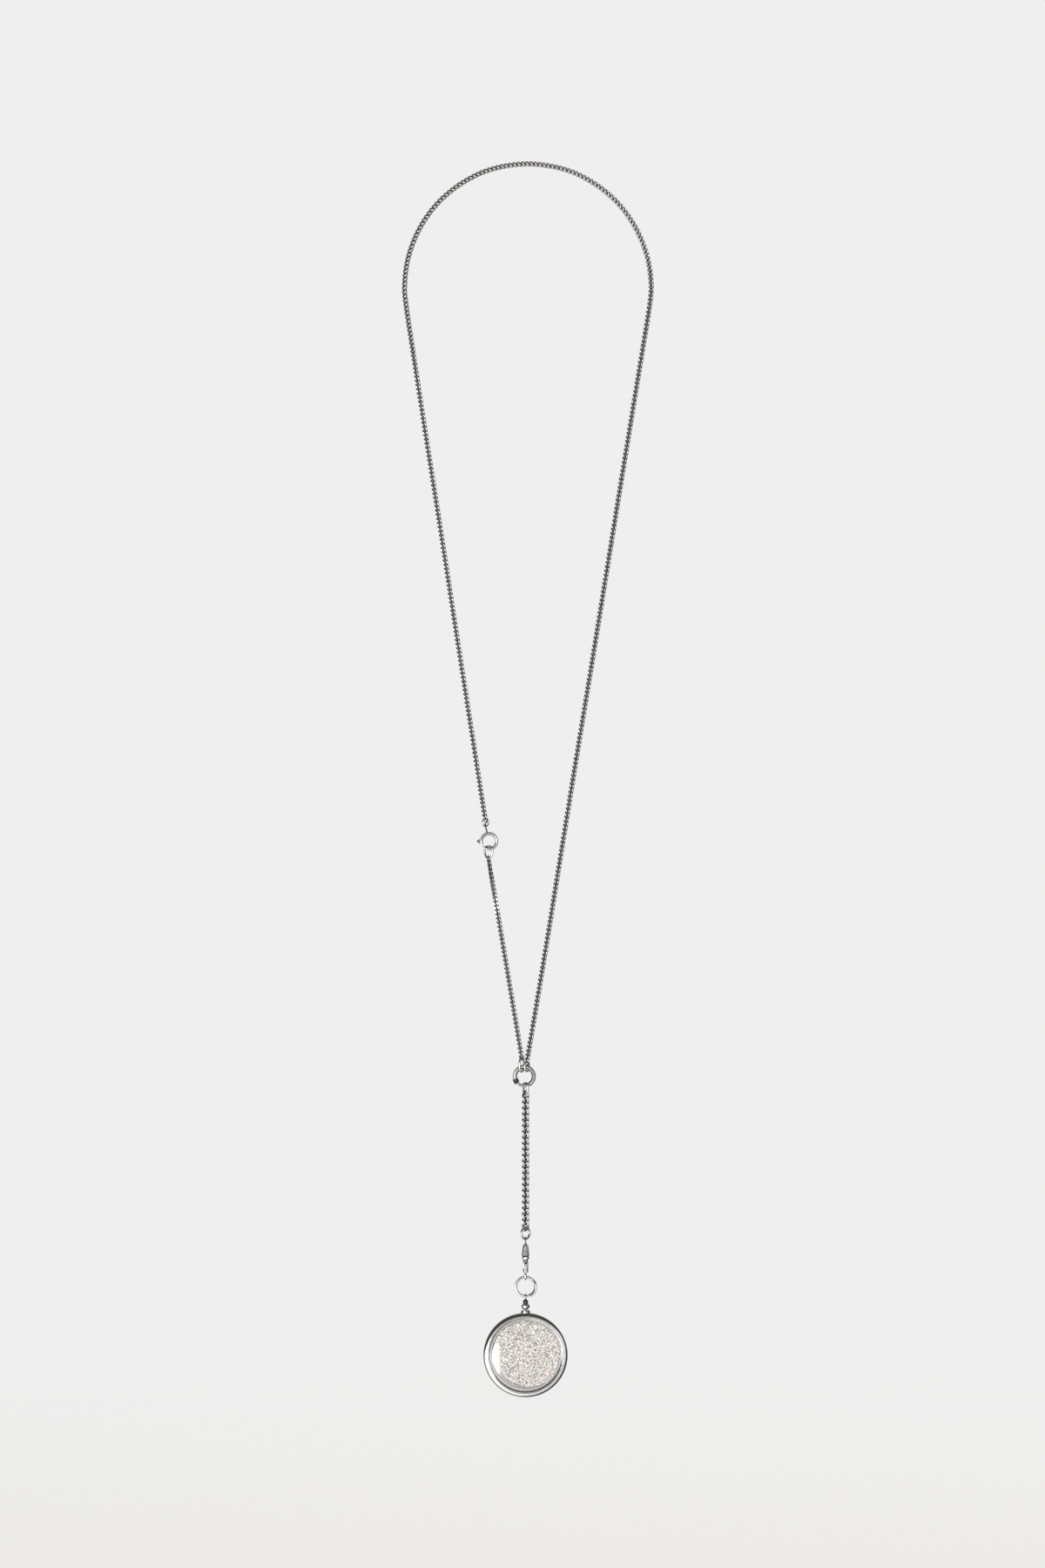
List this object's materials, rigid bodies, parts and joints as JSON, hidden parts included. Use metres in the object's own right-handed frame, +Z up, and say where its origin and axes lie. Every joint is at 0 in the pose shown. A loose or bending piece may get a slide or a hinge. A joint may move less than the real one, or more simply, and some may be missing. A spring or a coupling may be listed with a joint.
{
  "type": "medallion pendant",
  "caption": "Round glazed medallion filled with small clear crystals, hung from a swivel hook and a bolt ring on a long curb chain, draped as worn.",
  "frame": {"origin": "highest point of the neck form, where the underside of the chain rests on it", "axes": "+X to the right and +Z up as the picture shows it worn, +Y away from the viewer, through the medallion from its front glass to its back glass"},
  "size_m": [0.1042, 0.0096, 0.5107],
  "materials": {
    "fine_chain_silver": "filed flat and polished, darkened between the links",
    "drop_chain_silver": "filed flat and polished, darkened between the links",
    "polished_silver": "polished",
    "textured_silver": "hammered and grooved, darkened in the hollows",
    "knurled_silver": "finely knurled, darkened in the grooves",
    "gate_steel": "plain spring steel",
    "case_silver": "polished, with a warm tinge",
    "clear_glass": "clear and domed",
    "crystals": "small clear and white crystals, some pink or cream"
  },
  "bodies": {
    "chains": {"neck_chain_long": "fine_chain_silver", "neck_chain_short": "fine_chain_silver", "clasp_jump_ring": "polished_silver", "clasp_case": "polished_silver", "catch_link": "polished_silver", "end_link_left": "polished_silver", "end_link_right": "polished_silver", "centre_ring": "textured_silver", "drop_link": "polished_silver", "drop_chain": "drop_chain_silver", "swivel_jump_ring": "polished_silver", "swivel_barrel": "knurled_silver"},
    "clasp_bolt": {"clasp_latch": "polished_silver"},
    "ring_bolt": {"centre_ring_bolt": "textured_silver"},
    "hook": {"swivel_hook": "polished_silver", "gate_pin": "gate_steel"},
    "gate": {"hook_gate": "gate_steel"},
    "carrier_ring": {"large_ring": "polished_silver"},
    "medallion": {"medallion_frame": "case_silver", "front_bezel": "case_silver", "back_bezel": "case_silver", "front_glass": "clear_glass", "back_glass": "clear_glass", "crystal_fill": "crystals"}
  },
  "joints": [
    {"name": "clasp_trigger", "type": "hinge", "parent": "chains", "child": "clasp_bolt", "pos_m": [-0.016, 0, -0.2791], "axis": [0, 1, 0], "range_deg": [0, 35], "stiffness_Nm_per_rad": 0.00007, "springref_deg": -34.38},
    {"name": "ring_sleeve", "type": "hinge", "parent": "chains", "child": "ring_bolt", "pos_m": [-0.0014, 0, -0.3762], "axis": [0, 1, 0], "range_deg": [0, 45], "stiffness_Nm_per_rad": 0.0002, "springref_deg": -34.38},
    {"name": "swivel", "type": "hinge", "parent": "chains", "child": "hook", "pos_m": [-0.0009, 0, -0.45], "axis": [0, 0, 1], "continuous": true},
    {"name": "hook_gate", "type": "hinge", "parent": "hook", "child": "gate", "pos_m": [-0.0009, -0.0006, -0.454], "axis": [1, 0, 0], "range_deg": [0, 15], "stiffness_Nm_per_rad": 0.00007, "springref_deg": -34.38},
    {"name": "carrier_swing", "type": "hinge", "parent": "hook", "child": "carrier_ring", "pos_m": [-0.0009, 0, -0.46015], "axis": [0, 1, 0], "range_deg": [-30, 30]},
    {"name": "medallion_swing", "type": "hinge", "parent": "carrier_ring", "child": "medallion", "pos_m": [-0.0009, 0, -0.46708], "axis": [1, 0, 0], "range_deg": [-60, 60]}
  ]
}
